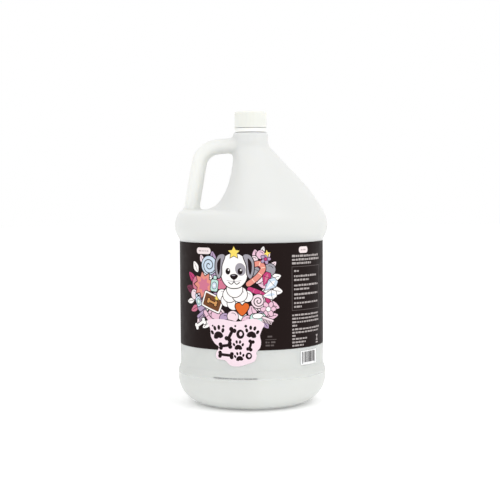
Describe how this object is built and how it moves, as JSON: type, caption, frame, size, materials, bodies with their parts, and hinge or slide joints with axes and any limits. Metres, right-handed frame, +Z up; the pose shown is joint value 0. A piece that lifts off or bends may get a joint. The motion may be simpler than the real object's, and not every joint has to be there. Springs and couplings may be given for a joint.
{
  "type": "shampoo bottle",
  "caption": "Round translucent gallon jug with an integral hollow handle, finger recess, screw cap, tamper ring and wrap-round film label.",
  "frame": {"origin": "centre of the standing ring under the base, on the surface that the jug stands on", "axes": "+Z up along the neck's axis, the handle towards -X, the front of the label towards -Y"},
  "size_m": [0.1582, 0.1582, 0.3025],
  "materials": {
    "bottle_plastic": "translucent natural polyethylene, satin",
    "cap_plastic": "natural white polypropylene, satin",
    "liner_foam": "closed-cell polyethylene foam",
    "ring_plastic": "natural white polypropylene, satin",
    "label_film": "clear film printed with a dark band",
    "sticker_paper": "white coated paper with black bars"
  },
  "bodies": {
    "bottle": {"jug": "bottle_plastic", "label_film": "label_film", "barcode_sticker": "sticker_paper"},
    "liner": {"cap_liner": "liner_foam"},
    "cap": {"screw_cap": "cap_plastic"},
    "ring": {"tamper_ring": "ring_plastic"}
  },
  "joints": [
    {"name": "cap_lift", "type": "slide", "parent": "bottle", "child": "liner", "axis": [0, 0, 1], "range_m": [0, 0.00636]},
    {"name": "cap_turn", "type": "hinge", "parent": "liner", "child": "cap", "pos_m": [0, 0, 0.2995], "axis": [0, 0, 1], "range_deg": [0, 540]},
    {"name": "ring_spin", "type": "hinge", "parent": "bottle", "child": "ring", "pos_m": [0, 0, 0.2832], "axis": [0, 0, 1], "continuous": true}
  ],
  "couplings": [
    {"joint": "cap_lift", "follows": "cap_turn", "m_per_rad": 0.0006737}
  ]
}
